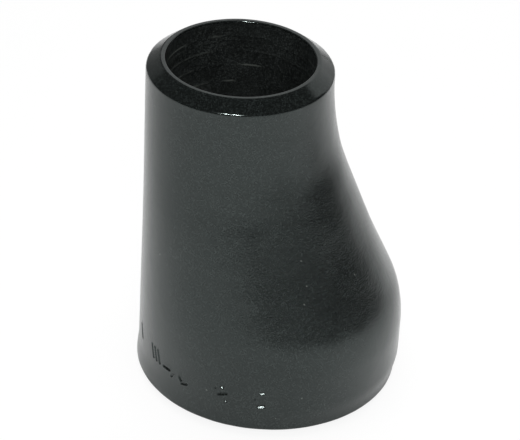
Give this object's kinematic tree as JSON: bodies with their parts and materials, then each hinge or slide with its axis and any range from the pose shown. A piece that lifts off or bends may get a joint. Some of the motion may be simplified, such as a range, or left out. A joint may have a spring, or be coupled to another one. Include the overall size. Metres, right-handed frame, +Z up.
{
  "type": "eccentric reducer",
  "caption": "Butt-weld eccentric reducer in black-painted steel: one side runs straight, the other swings in, and both ends are bevelled for welding.",
  "frame": {"origin": "centre of the large end's face, which the part stands on", "axes": "+Z runs up to the small end; the straight side is at -X and the side that swings in is at +X"},
  "size_m": [0.049, 0.0486, 0.064],
  "materials": {
    "black_paint": "satin black paint over formed steel"
  },
  "bodies": {
    "root": {"reducer_body": "black_paint"}
  },
  "joints": []
}
